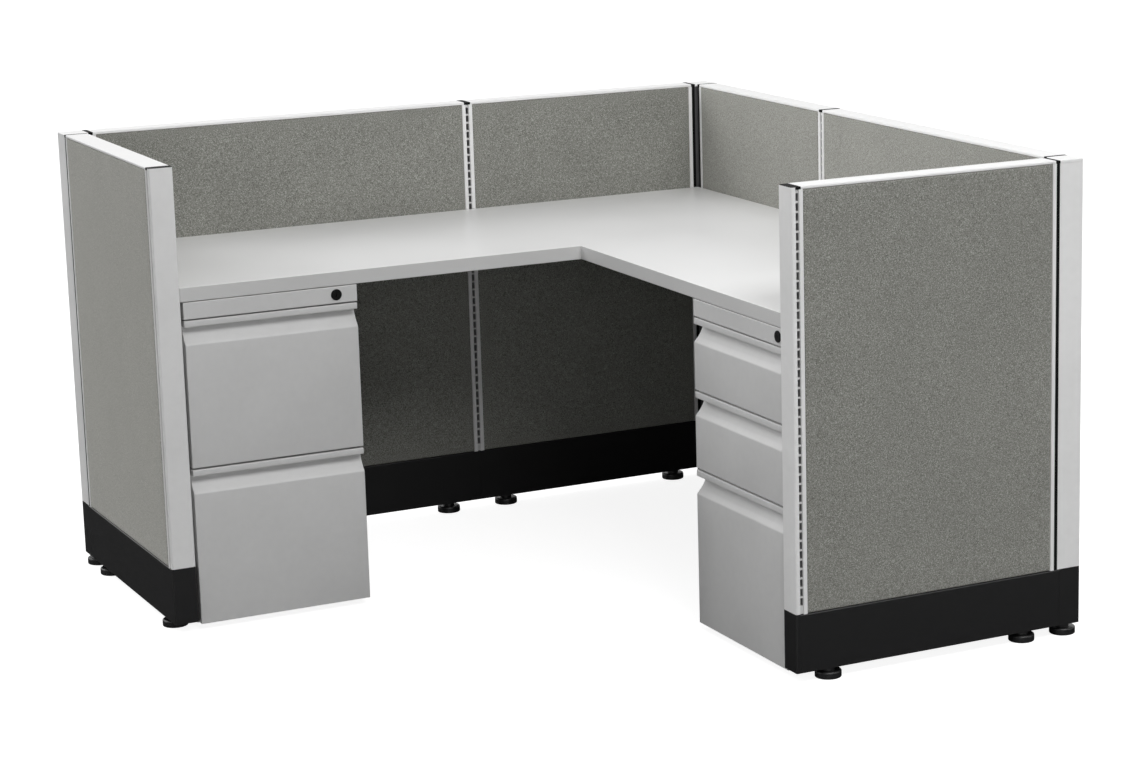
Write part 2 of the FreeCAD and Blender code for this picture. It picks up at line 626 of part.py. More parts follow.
for side in ("left", "right"):
    pos, yaw = PED[side]
    # Case: welded sheet box open at the front, with the lock rail across it.
    c = body(side + "_pedestal_case", pos, yaw)
    add(c, "y", case_y, case_d, [rect(0, ped_w, ped_z, ws_und)], "Box")
    cut(c, "y", case_y, case_d - case_t, [rect(case_t, ped_w - case_t, ped_z + case_t, ws_und - case_t)], "Inside")
    add(c, "y", q(0), case_y + 2, [rect(0, ped_w, rail_z, ws_und - rail_gap)], "Lock_rail")
    lx = lock_xl if side == "left" else lock_xr
    cut(c, "y", q(0), case_y + 3, [("circle", lx, lock_z, lock_hole)], "Lock_hole")
    rounded(c, 1.5, lambda e, bb: near(bb.YMin, 0) and near(bb.YMax, 0) and
            (along(bb, "x") or along(bb, "z")), "Rail_edges")
    nodes.append(c)

    fixed = []
    for dn, z0, z1, sh in DRAWERS[side]:
        nm = side + "_" + dn
        hf = z1 - z0
        # Front with a full width pull: lip above, hollow recess below it.
        d = body(nm + "_drawer_front", pos, yaw)
        add(d, "x", side_gap, ped_w - 2 * side_gap, [[
            (0, z0), (0, z1 - pull_hh), (pull_d * 0.42, z1 - 41), (pull_d * 0.72, z1 - 32), (pull_d * 0.91, z1 - 23),
            (pull_d, z1 - lip_hh - 1.5), (pull_d, z1 - lip_hh), (0, z1 - lip_hh), (0, z1),
            (front_t, z1), (front_t, z0)]], "Panel")
        rounded(d, 1.4, lambda e, bb: near(bb.YMin, 0) and near(bb.YMax, 0), "Face_edges")
        nodes.append(d)
        # Open topped box, with the riveted drawer members of the slides and the
        # catch of the lock.
        zb = z0 + box_lift
        bx = body(nm + "_drawer_shell", pos, yaw)
        xa = case_t + box_gap
        xb = ped_w - case_t - box_gap
        add(bx, "z", zb, sh, [rect(xa, xb, front_t, front_t + box_d)], "Block")
        cut(bx, "z", zb + box_t, sh, [rect(xa + box_t, xb - box_t, front_t + box_t, front_t + box_d - box_t)], "Inside")
        zc = zb + 36
        rl = body(nm + "_rail_l", pos, yaw)
        channel(rl, "l", 5.2, box_gap, 15.5, zc, slide_y, False, "Rail")
        rr = body(nm + "_rail_r", pos, yaw)
        channel(rr, "r", 5.2, box_gap, 15.5, zc, slide_y, False, "Rail")
        # Catch for the gang bar, welded to the side.
        ct = body(nm + "_catch", pos, yaw)
        add(ct, "y", slide_y + 1, q(3.0), [rect(ped_w - case_t - box_gap, ped_w - case_t - 5.5,
                                                z0 + catch_z, z0 + catch_z + 10)], "Tab")
        group(nm + "_drawer_box", [bx, rl, rr, ct])
        # Intermediate members, which travel half as far as the drawer.
        ml = body(nm + "_member_l", pos, yaw)
        channel(ml, "l", 2.6, 10.4, 19.0, zc, slide_y, True, "Member")
        mr = body(nm + "_member_r", pos, yaw)
        channel(mr, "r", 2.6, 10.4, 19.0, zc, slide_y, True, "Member")
        group(nm + "_slide_members", [ml, mr])
        for sd in ("l", "r"):
            fx = body(nm + "_channel_" + sd, pos, yaw)
            channel(fx, sd, 0, 9.4, 22.5, zc, slide_y, True, "Channel")
            fixed.append(fx)
    group(side + "_slide_channels", fixed)

    # Lock: face, barrel through the rail, and a crank disc with a pin behind it.
    lk = body(side + "_lock_cylinder", pos, yaw)
    add(lk, "y", q(-2.4), q(2.4), [("circle", lx, lock_z, lock_r)], "Face")
    add(lk, "y", q(-0.5), case_y + 5.5, [("circle", lx, lock_z, lock_b)], "Barrel")
    add(lk, "y", case_y + 4.9, q(2.6), [("circle", lx, lock_z, q(9.0))], "Crank")
    add(lk, "y", case_y + 7.0, q(4.0), [("circle", lx - crank, lock_z + crank, pin_r)], "Pin")
    cut(lk, "y", q(-2.6), q(4.0), [rect(lx - 0.9, lx + 0.9, lock_z - 4.5, lock_z + 4.5)], "Keyway")
    rounded(lk, 0.9, lambda e, bb: near(bb.YMin, -2.4) and near(bb.YMax, -2.4) and bb.ZLength > 15, "Rim")
    nodes.append(lk)
    # Gang bar beside the slides: a flat strip with a slotted arm on the lock's
    # pin, and a lug in front of each drawer's catch once it is lowered.
    gb = body(side + "_lock_bar", pos, yaw)
    gx1 = ped_w - case_t - 0.4
    gx0 = gx1 - bar_t
    add(gb, "y", case_y + 2.3, q(10.2), [rect(gx0, gx1, bot_z + 25, lock_z + 9)], "Strip")
    add(gb, "y", case_y + 8.2, q(2.0), [rect(lx - 11, gx0 + 0.4, lock_z - 1, lock_z + 9)], "Arm")
    add(gb, "y", case_y + 7.0, q(5.5), [rect(gx1 - lug_w, gx0 + 0.4, z0 + catch_z + 12, z0 + catch_z + 22)
                                        for dn, z0, z1, sh in DRAWERS[side]], "Lugs")
    cut(gb, "y", case_y + 8.0, q(3.0), [rect(lx - crank * 1.4142 - pin_r - 0.4, lx - crank + pin_r + 0.4,
                                             lock_z + crank - pin_r - 0.25, lock_z + crank + pin_r + 0.25)], "Slot")
    nodes.append(gb)

pg = body("pedestal_glide")
add(pg, "z", 0, ped_z, [("circle", 0, 0, pg_r)], "Foot")
rounded(pg, 3.0, lambda e, bb: near(bb.ZMin, 0) and near(bb.ZMax, 0), "Rim")
places = []
for side in ("left", "right"):
    pos, yaw = PED[side]
    fr = at(pos[0], pos[1], 0, yaw)
    for gx in (40.0, ped_w.v - 40.0):
        for gy in (case_y.v + 40.0, (case_y + case_d).v - 40.0):
            places.append(fr.multiply(at(gx, gy)))
copies("pedestal_glides", pg, places)

# ---------------------------------------------------------------- write
doc.recompute()
bad = [o.Name for o in doc.Objects if any(s in ("Invalid", "Error") for s in o.State)]
if bad:
    raise ValueError("failed objects: " + ", ".join(bad))
labels = [n.Label for n in nodes]
if len(set(labels)) != len(labels) or len(labels) > 60:
    raise ValueError("labels: %d" % len(labels))
for n in nodes:
    shp = n.Shape
    if shp.isNull() or not shp.isValid() or not shp.Solids:
        raise ValueError("bad shape: " + n.Label)
    shp.exportStep("parts/" + n.Label + ".step")
    bb = shp.BoundBox
    print("%-32s solids %2d vol %10.0f  x %.1f %.1f  y %.1f %.1f  z %.1f %.1f" % (
        n.Label, len(shp.Solids), shp.Volume, bb.XMin, bb.XMax, bb.YMin, bb.YMax, bb.ZMin, bb.ZMax))
print("nodes", len(nodes))
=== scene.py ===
import json
import math
import random
import bpy
import bmesh
from mathutils import Matrix, Vector


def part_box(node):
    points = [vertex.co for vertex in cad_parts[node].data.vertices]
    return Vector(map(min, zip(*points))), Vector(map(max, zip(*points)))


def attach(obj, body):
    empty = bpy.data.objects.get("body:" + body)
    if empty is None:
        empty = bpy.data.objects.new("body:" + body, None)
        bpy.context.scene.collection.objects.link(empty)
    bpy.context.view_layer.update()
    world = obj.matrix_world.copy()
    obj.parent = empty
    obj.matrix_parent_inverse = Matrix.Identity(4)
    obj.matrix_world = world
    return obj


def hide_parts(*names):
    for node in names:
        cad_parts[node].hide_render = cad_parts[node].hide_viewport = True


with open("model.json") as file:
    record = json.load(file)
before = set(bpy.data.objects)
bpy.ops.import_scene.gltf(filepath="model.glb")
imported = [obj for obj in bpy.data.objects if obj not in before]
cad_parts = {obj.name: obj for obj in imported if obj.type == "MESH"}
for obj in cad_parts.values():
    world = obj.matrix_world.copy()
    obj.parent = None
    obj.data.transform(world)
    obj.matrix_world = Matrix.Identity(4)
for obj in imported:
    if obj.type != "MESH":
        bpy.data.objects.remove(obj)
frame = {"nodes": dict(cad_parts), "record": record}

random.seed(7)
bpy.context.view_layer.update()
nodes = frame["nodes"]
scene = bpy.context.scene
ROOT = "cubicle"


# ------------------------------------------------------------------ camera
def set_camera():
    az, el, roll = math.radians(-27.857), math.radians(12.671), math.radians(-1.008)
    back = Vector((math.sin(az) * math.cos(el), -math.cos(az) * math.cos(el), math.sin(el)))
    fwd = -back
    right = fwd.cross(Vector((0, 0, 1))).normalized()
    up = right.cross(fwd)
    r2 = math.cos(roll) * right + math.sin(roll) * up
    u2 = -math.sin(roll) * right + math.cos(roll) * up
    m = Matrix((( r2.x, u2.x, back.x, -2.549),
                ( r2.y, u2.y, back.y, -5.625),
                ( r2.z, u2.z, back.z,  1.842),
                (0, 0, 0, 1)))
    cam_data = bpy.data.cameras.new("camera")
    cam = bpy.data.objects.new("camera", cam_data)
    scene.collection.objects.link(cam)
    cam.matrix_world = m
    cam_data.sensor_width = 36.0
    cam_data.lens = 2940.8 / 1133.0 * 36.0
    cam_data.shift_x = -0.14
    cam_data.clip_start = 0.05
    cam_data.clip_end = 100.0
    scene.camera = cam


set_camera()


# ------------------------------------------------------------------ materials
class Mat:
    """A small helper for node materials."""

    def __init__(self, name, rough=0.5, metal=0.0, spec=0.5):
        self.m = bpy.data.materials.new(name)
        self.m.use_nodes = True
        self.nt = self.m.node_tree
        self.b = self.nt.nodes["Principled BSDF"]
        self.b.inputs["Roughness"].default_value = rough
        self.b.inputs["Metallic"].default_value = metal
        self.b.inputs["Specular IOR Level"].default_value = spec
        self.co = self.nt.nodes.new("ShaderNodeTexCoord").outputs["Object"]

    def n(self, kind, **kw):
        nd = self.nt.nodes.new(kind)
        for k, v in kw.items():
            if k in nd.inputs:
                nd.inputs[k].default_value = v
            else:
                setattr(nd, k, v)
        return nd

    def link(self, a, b):
        self.nt.links.new(a, b)

    def noise(self, scale, detail=2.0, rough=0.5, stretch=None, distortion=0.0):
        nd = self.n("ShaderNodeTexNoise")
        nd.inputs["Scale"].default_value = scale
        nd.inputs["Detail"].default_value = detail
        nd.inputs["Roughness"].default_value = rough
        nd.inputs["Distortion"].default_value = distortion
        src = self.co
        if stretch:
            mp = self.n("ShaderNodeMapping")
            mp.inputs["Scale"].default_value = stretch
            self.link(src, mp.inputs["Vector"])
            src = mp.outputs["Vector"]
        self.link(src, nd.inputs["Vector"])
        return nd.outputs["Fac"]

    def ramp(self, fac, stops):
        nd = self.n("ShaderNodeValToRGB")
        el = nd.color_ramp.elements
        while len(el) > 1:
            el.remove(el[-1])
        el[0].position = stops[0][0]
        el[0].color = (*stops[0][1], 1)
        for p, c in stops[1:]:
            e = el.new(p)
            e.color = (*c, 1)
        self.link(fac, nd.inputs["Fac"])
        return nd.outputs["Color"]

    def mix(self, fac, a, b, mode="MIX"):
        nd = self.n("ShaderNodeMix", data_type="RGBA", blend_type=mode)
        if hasattr(fac, "links") or hasattr(fac, "is_linked"):
            self.link(fac, nd.inputs[0])
        else:
            nd.inputs[0].default_value = fac
        for sock, v in ((nd.inputs[6], a), (nd.inputs[7], b)):
            if hasattr(v, "is_linked"):
                self.link(v, sock)
            else:
                sock.default_value = (*v, 1)
        return nd.outputs[2]

    def math(self, op, a, b=0.0, clamp=False):
        nd = self.n("ShaderNodeMath", operation=op, use_clamp=clamp)
        for sock, v in ((nd.inputs[0], a), (nd.inputs[1], b)):
            if hasattr(v, "is_linked"):
                self.link(v, sock)
            else:
                sock.default_value = v
        return nd.outputs[0]

    def remap(self, v, a0, a1, b0, b1):
        nd = self.n("ShaderNodeMapRange")
        self.link(v, nd.inputs["Value"])
        for k, x in (("From Min", a0), ("From Max", a1), ("To Min", b0), ("To Max", b1)):
            nd.inputs[k].default_value = x
        return nd.outputs["Result"]

    def color(self, c):
        self.link(c, self.b.inputs["Base Color"])

    def rough(self, r):
        self.link(r, self.b.inputs["Roughness"])

    def bump(self, h, strength, dist):
        nd = self.n("ShaderNodeBump")
        nd.inputs["Strength"].default_value = strength
        nd.inputs["Distance"].default_value = dist
        self.link(h, nd.inputs["Height"])
        self.link(nd.outputs["Normal"], self.b.inputs["Normal"])


def fabric_material():
    """Heathered panel cloth: flecks of light and dark yarn in a plain weave."""
    k = Mat("panel_fabric", rough=0.92, spec=0.25)
    k.b.inputs["Sheen Weight"].default_value = 0.8
    k.b.inputs["Sheen Roughness"].default_value = 0.5
    k.b.inputs["Sheen Tint"].default_value = (1.0, 0.985, 0.93, 1)
    fleck = k.noise(760, 3.0, 0.75)
    fleck2 = k.noise(420, 2.0, 0.6)
    cloud = k.noise(9, 2.0, 0.5)
    yarn_h = k.noise(900, 1.0, 0.5, stretch=(1.0, 1.0, 0.28))
    yarn_v = k.noise(900, 1.0, 0.5, stretch=(0.28, 0.28, 1.0))
    both = k.math("ADD", k.math("MULTIPLY", fleck, 0.62), k.math("MULTIPLY", fleck2, 0.38))
    base = k.ramp(both, [(0.35, (0.050, 0.050, 0.042)), (0.46, (0.206, 0.208, 0.185)),
                         (0.55, (0.322, 0.324, 0.298)), (0.66, (0.660, 0.660, 0.622))])
    yarn = k.math("MULTIPLY", k.math("ADD", yarn_h, yarn_v), 0.5)
    tone = k.ramp(k.math("ADD", k.math("MULTIPLY", yarn, 0.8), k.math("MULTIPLY", cloud, 0.2)),
                  [(0.3, (0.80, 0.80, 0.80)), (0.7, (1.18, 1.18, 1.18))])
    k.color(k.mix(1.0, base, tone, "MULTIPLY"))
    h = k.math("ADD", k.math("MULTIPLY", yarn, 0.7), k.math("MULTIPLY", fleck, 0.5))
    k.bump(h, 0.55, 0.0007)
    return k.m


def paint_material(name, col, rough, orange=900, wear=0.03, spec=0.5):
    """Powder coat: fine orange peel, faint unevenness in gloss and tone."""
    k = Mat(name, rough=rough, spec=spec)
    big = k.noise(6, 3.0, 0.55)
    mid = k.noise(60, 2.0, 0.5)
    peel = k.noise(orange, 2.0, 0.5)
    lo = tuple(c * (1 - wear) for c in col)
    hi = tuple(min(1.0, c * (1 + wear)) for c in col)
    k.color(k.ramp(k.math("ADD", k.math("MULTIPLY", big, 0.7), k.math("MULTIPLY", mid, 0.3)), [(0.35, lo), (0.65, hi)]))
    k.rough(k.remap(big, 0.3, 0.7, rough - 0.05, rough + 0.07))
    k.bump(peel, 0.12, 0.0002)
    return k.m


def laminate_material():
    """White laminate top with a slightly greyer edge band."""
    k = Mat("laminate", rough=0.34, spec=0.45)
    big = k.noise(3.0, 3.0, 0.5)
    grain = k.noise(1400, 2.0, 0.6)
    geo = k.n("ShaderNodeNewGeometry")
    sep = k.n("ShaderNodeSeparateXYZ")
    k.link(geo.outputs["True Normal"], sep.inputs[0])
    up = k.remap(k.math("ABSOLUTE", sep.outputs[2]), 0.3, 0.8, 0.0, 1.0)
    top = k.ramp(k.math("ADD", k.math("MULTIPLY", big, 0.6), k.math("MULTIPLY", grain, 0.4)),
                 [(0.3, (0.90, 0.90, 0.898)), (0.7, (0.93, 0.93, 0.927))])
    edge = k.ramp(big, [(0.3, (0.71, 0.71, 0.705)), (0.7, (0.75, 0.75, 0.745))])
    k.color(k.mix(up, edge, top))
    k.rough(k.remap(big, 0.3, 0.7, 0.30, 0.40))
    k.bump(grain, 0.06, 0.0002)
    return k.m


def plastic_material(name, col, rough, scale=1200, spec=0.5):
    """Moulded plastic with a fine spark texture and light scuffs."""
    k = Mat(name, rough=rough, spec=spec)
    big = k.noise(5, 3.0, 0.6)
    tex = k.noise(scale, 2.0, 0.6)
    scuff = k.noise(26, 4.0, 0.7, stretch=(1.0, 1.0, 6.0))
    k.color(k.ramp(k.math("ADD", k.math("MULTIPLY", big, 0.5), k.math("MULTIPLY", scuff, 0.5)),
                   [(0.35, tuple(c * 0.93 for c in col)), (0.72, tuple(c * 1.10 for c in col))]))
    k.rough(k.remap(scuff, 0.3, 0.75, rough + 0.01, rough + 0.06))
    k.bump(tex, 0.25, 0.0002)
    return k.m


def zinc_material(name="zinc_steel", col=(0.62, 0.62, 0.60)):
    """Galvanised or zinc plated sheet with faint spangle and rolling lines."""
    k = Mat(name, rough=0.38, metal=0.85)
    sp = k.noise(90, 2.0, 0.5, distortion=0.4)
    roll = k.noise(300, 2.0, 0.5, stretch=(0.06, 0.06, 1.0))
    k.color(k.ramp(k.math("ADD", k.math("MULTIPLY", sp, 0.6), k.math("MULTIPLY", roll, 0.4)),
                   [(0.35, tuple(c * 0.86 for c in col)), (0.65, tuple(min(1, c * 1.1) for c in col))]))
    k.rough(k.remap(sp, 0.3, 0.7, 0.30, 0.46))
    k.bump(roll, 0.1, 0.0002)
    return k.m


def standard_material():
    """Slotted strip: the bridges between the slots are painted like the frame; the slot walls behind them get a grey
    painted shade for the shadow inside the slots.
    Near the corner posts all of it, bridges too, gets a near-black painted shade."""
    k = Mat("standard_paint_and_painted_shade", rough=0.5, spec=0.4)
    sep = k.n("ShaderNodeSeparateXYZ")
    k.link(k.co, sep.inputs[0])
    ax, ay = (k.math("ABSOLUTE", sep.outputs[i]) for i in (0, 1))
    dx, dy = (k.math("SUBTRACT", PT / 2, k.math("ABSOLUTE", k.math("SUBTRACT", a, HALF + PT / 2))) for a in (ax, ay))
    depth = k.math("MAXIMUM", dx, dy)
    # painted shade mask: more than 3.4 mm in from the strip's face, on the slot walls, the white paint gives way to
    # painted shade
    face = k.remap(depth, 0.0034, 0.0037, 1.0, 0.0)
    far = k.math("MINIMUM", ax, ay)
    # painted shade mask for the corners: where both |x| and |y| pass 0.70 m the whole strip takes the near-black
    # painted shade
    corner = k.remap(far, 0.700, 0.705, 0.0, 1.0)
    big = k.noise(8, 2.0, 0.5)
    white = k.ramp(big, [(0.3, (0.66, 0.66, 0.655)), (0.7, (0.74, 0.74, 0.735))])
    # painted shade colours: grey for the shadow inside the slots, near black for the shadowed strips in the corners
    painted_slot_shade = k.ramp(big, [(0.3, (0.28, 0.28, 0.28)), (0.7, (0.34, 0.34, 0.34))])
    black = k.ramp(big, [(0.3, (0.020, 0.020, 0.020)), (0.7, (0.030, 0.030, 0.030))])
    dark = k.mix(corner, painted_slot_shade, black)
    lit = k.math("MULTIPLY", face, k.math("SUBTRACT", 1.0, corner))
    k.color(k.mix(lit, dark, white))
    return k.m


HALF, PT, SKIN = 0.762, 0.0508, 0.0150
FABRIC = fabric_material()
WHITE = paint_material("frame_white", (0.91, 0.91, 0.907), 0.42)
PED = paint_material("pedestal_paint", (0.745, 0.745, 0.742), 0.42)
CORE = paint_material("core_steel", (0.115, 0.115, 0.118), 0.5)
STANDARD = standard_material()
CONNECT = plastic_material("connector_black", (0.0080, 0.0080, 0.0080), 0.72, spec=0.12)
BLACK = plastic_material("black_plastic", (0.0095, 0.0095, 0.0100), 0.38, spec=0.75)
LOCK = plastic_material("lock_black", (0.006, 0.006, 0.006), 0.34, 2400, spec=0.25)
LAM = laminate_material()
ZINC = zinc_material()
BRACKET = paint_material("bracket_paint", (0.20, 0.20, 0.20), 0.45)

BY_SLOT = {"fabric": FABRIC, "frame_white": WHITE, "black_plastic": BLACK, "laminate": LAM,
           "pedestal_paint": PED, "zinc_steel": ZINC, "core_steel": CORE, "lock_black": LOCK}
slots = {s["node"]: s["material_slot"] for s in frame["record"]["subparts"]}
SPECIAL = {"slotted_standards": STANDARD, "top_connectors": CONNECT, "worksurface_brackets": BRACKET}


def paint(obj, mat):
    obj.data.materials.clear()
    obj.data.materials.append(mat)


for name, o in nodes.items():
    mat = SPECIAL.get(name, BY_SLOT[slots[name]])
    if o.data.materials:
        for i in range(len(o.data.materials)):
            o.data.materials[i] = mat
    else:
        o.data.materials.append(mat)


# ------------------------------------------------------------------ pieces
def piece(name, bm, mat, body, smooth=None):
    """A new object from a bmesh, riding on a body."""
    bmesh.ops.recalc_face_normals(bm, faces=bm.faces)
    me = bpy.data.meshes.new(name)
    bm.to_mesh(me)
    bm.free()
    o = bpy.data.objects.new(name, me)
    scene.collection.objects.link(o)
    paint(o, mat)
    if smooth is not None:
        for f in me.polygons:
            f.use_smooth = True
        me.set_sharp_from_angle(angle=math.radians(smooth))
    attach(o, body)
    return o


# Fabric boards: cloth pulled over a board, with rolled edges, a slight crown
# and the corner folds that show where it is tucked behind the frame strips.
def board(bm, to_world, x0, x1, z0, z1, thick, rnd):
    """One board in panel coordinates: x along, z up, depth d from the face."""
    r = 0.0032

    def stops(a, b, step):
        edge = [0.0, 0.0004, 0.0012, 0.0022, r, 0.006, 0.011, 0.02, 0.04]
        n = max(2, int(round((b - a - 0.08) / step)))
        mid = [a + 0.04 + (b - a - 0.08) * i / n for i in range(1, n)]
        return [a + e for e in edge] + mid + [b - e for e in reversed(edge)]

    xs, zs = stops(x0, x1, 0.045), stops(z0, z1, 0.045)
    lx, lz = x1 - x0, z1 - z0
    pulls = [(rnd.uniform(0, lx), rnd.uniform(0, 6.28)) for _ in range(5)]

    def depth(x, z):
        ex, ez = min(x - x0, x1 - x), min(z - z0, z1 - z)
        e = min(ex, ez)
        # rounded rim: a quarter circle that starts at the strip
        d = 0.0
        if e < r:
            d = r - math.sqrt(max(0.0, r * r - (r - e) ** 2))
        # the two rims meet in a softened corner
        if ex < 0.012 and ez < 0.012:
            d += 0.0007 * (1 - ex / 0.012) * (1 - ez / 0.012)
        crown = 0.0011 * (1 - math.exp(-e / 0.03))
        u, v = (x - x0) / lx, (z - z0) / lz
        wave = 0.00022 * math.sin(3.1 * 2 * math.pi * u + pulls[0][1]) * math.sin(2.3 * math.pi * v + pulls[1][1])
        tuck = 0.0
        for px, ph in pulls[:3]:
            tuck += 0.00016 * math.exp(-((x - x0 - px) / 0.03) ** 2) * math.exp(-min(z - z0, z1 - z) / 0.05)
        return d - crown - (wave if e > 0.02 else wave * e / 0.02) + tuck

    grid = [[bm.verts.new(to_world(x, depth(x, z), z)) for z in zs] for x in xs]
    back = [[None] * len(zs) for _ in xs]
    for i, j in [(i, j) for i in range(len(xs)) for j in range(len(zs))]:
        if i in (0, len(xs) - 1) or j in (0, len(zs) - 1):
            back[i][j] = bm.verts.new(to_world(xs[i], thick, zs[j]))
    for i in range(len(xs) - 1):
        for j in range(len(zs) - 1):
            bm.faces.new((grid[i][j], grid[i + 1][j], grid[i + 1][j + 1], grid[i][j + 1]))
    ring = [(i, 0) for i in range(len(xs))] + [(len(xs) - 1, j) for j in range(1, len(zs))] + \
        [(i, len(zs) - 1) for i in range(len(xs) - 2, -1, -1)] + [(0, j) for j in range(len(zs) - 2, 0, -1)]
    for k in range(len(ring)):
        (i, j), (m, n) = ring[k], ring[(k + 1) % len(ring)]
        bm.faces.new((grid[i][j], grid[m][n], back[m][n], back[i][j]))
    bm.faces.new([back[i][j] for i, j in ring])


FAB = {   # the axis the panel runs along, and the side it stands on (sign); the fabric's extent comes from its skins' box
    "left_wing": ("y", -1), "back_left": ("x", 1), "back_right": ("x", 1),
    "right_rear": ("y", 1), "right_front": ("y", 1), "right_wing": ("x", -1)}


def fabric_boards():
    for name, (axis, sign) in FAB.items():
        lo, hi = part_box(name + "_skins")
        rnd = random.Random(name)
        bm = bmesh.new()
        for inner in (True, False):
            face = sign * HALF if inner else sign * (HALF + PT)
            inward = sign if inner else -sign       # from the face into the panel
            if axis == "x":
                fn = lambda x, d, z, face=face, inward=inward: Vector((x, face + inward * d, z))
                a0, a1 = lo[0], hi[0]
            else:
                fn = lambda x, d, z, face=face, inward=inward: Vector((face + inward * d, x, z))
                a0, a1 = lo[1], hi[1]
            board(bm, fn, a0, a1, lo[2], hi[2], SKIN, rnd)
        o = piece(name + "_fabric_boards", bm, FABRIC, "cubicle", smooth=50)
        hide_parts(name + "_skins")


fabric_boards()


# Drawer fronts: one bent and rounded section with the hollow pull under its
# lip, in the pedestal's frame (x across, y back from the face, z up).
PED_W, GAP, FRONT_T = 0.381, 0.0008, 0.024


def ped_point(side, x, y, z):
    if side == "left":
        return Vector((-0.754 + x, 0.153 + y, z))
    return Vector((0.153 + y, -0.379 - x, z))


def rounded_section(corners, steps=5):
    """Corner points with radii -> a smooth closed section with inward normals."""
    pts = []
    n = len(corners)
    for i in range(n):
        p0, p1, p2 = (Vector(corners[(i + j) % n][:2]) for j in (-1, 0, 1))
        r = corners[i][2]
        a, b = (p0 - p1).normalized(), (p2 - p1).normalized()
        half_angle = a.angle(b) / 2
        if r <= 0 or half_angle > math.radians(89.5):
            pts.append(p1)
            continue
        cut = min(r / math.tan(half_angle), 0.48 * (p0 - p1).length, 0.48 * (p2 - p1).length)
        r = cut * math.tan(half_angle)
        centre = p1 + (a + b).normalized() * (r / math.sin(half_angle))
        s, e = p1 + a * cut - centre, p1 + b * cut - centre
        turn = s.angle_signed(e)
        for k in range(steps + 1):
            t = -turn * k / steps
            pts.append(centre + Vector((s.x * math.cos(t) - s.y * math.sin(t), s.x * math.sin(t) + s.y * math.cos(t))))
    clean = [p for i, p in enumerate(pts) if (p - pts[i - 1]).length > 2e-5]
    area = sum(p.x * q.y - q.x * p.y for p, q in zip(clean, clean[1:] + clean[:1]))
    sign = 1 if area > 0 else -1
    normals = []
    for i, p in enumerate(clean):
        d0 = (p - clean[i - 1]).normalized()
        d1 = (clean[(i + 1) % len(clean)] - p).normalized()
        n0, n1 = Vector((-d0.y, d0.x)) * sign, Vector((-d1.y, d1.x)) * sign
        m = (n0 + n1)
        m = m.normalized() / max(0.5, m.normalized().dot(n0))
        normals.append(m)
    return clean, normals


def extrude_rounded(bm, section, x0, x1, place, rim=0.0011, stations=()):
    """Extrude a section along x with its end edges rounded over."""
    pts, nrm = section
    turn = [math.radians(t) for t in (90, 60, 30, 0)]
    end = [(x0 + rim * (1 - math.sin(t)), rim * (1 - math.cos(t))) for t in turn]
    rows = end + [(x0 + (x1 - x0) * f, 0.0) for f in stations] + [(x0 + x1 - x, i) for x, i in reversed(end)]
    rings = [[bm.verts.new(place(x, (p + q * inset).x, (p + q * inset).y)) for p, q in zip(pts, nrm)] for x, inset in rows]
    m = len(pts)
    for r0, r1 in zip(rings, rings[1:]):
        for i in range(m):
            bm.faces.new((r0[i], r0[(i + 1) % m], r1[(i + 1) % m], r1[i]))
    bm.faces.new(rings[0])
    bm.faces.new(list(reversed(rings[-1])))


def drawer_fronts():
    for side in ("left", "right"):
        for dn in ("upper", "middle", "lower"):
            name = side + "_" + dn + "_drawer_front"
            if name not in nodes:
                continue
            lo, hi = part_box(name)
            z0, z1 = lo[2], hi[2]
            mm = 0.001
            section = rounded_section([
                (0, z0, 1.4 * mm), (0, z1 - 51 * mm, 7 * mm), (9.03 * mm, z1 - 41 * mm, 40 * mm),
                (15.5 * mm, z1 - 32 * mm, 40 * mm), (19.6 * mm, z1 - 23 * mm, 40 * mm), (21.5 * mm, z1 - 15 * mm, 4 * mm),
                (20.6 * mm, z1 - 13.5 * mm, 0.8 * mm), (0, z1 - 13.5 * mm, 1.6 * mm), (0, z1, 1.5 * mm),
                (FRONT_T, z1, 0.8 * mm), (FRONT_T, z0, 0.8 * mm)])
            bm = bmesh.new()
            extrude_rounded(bm, section, GAP, PED_W - GAP, lambda x, y, z: ped_point(side, x, y, z),
                            stations=(0.25, 0.5, 0.75))
            o = piece(side + "_" + dn + "_front_face", bm, PED, side + "_" + dn + "_drawer", smooth=40)
            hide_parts(name)


drawer_fronts()


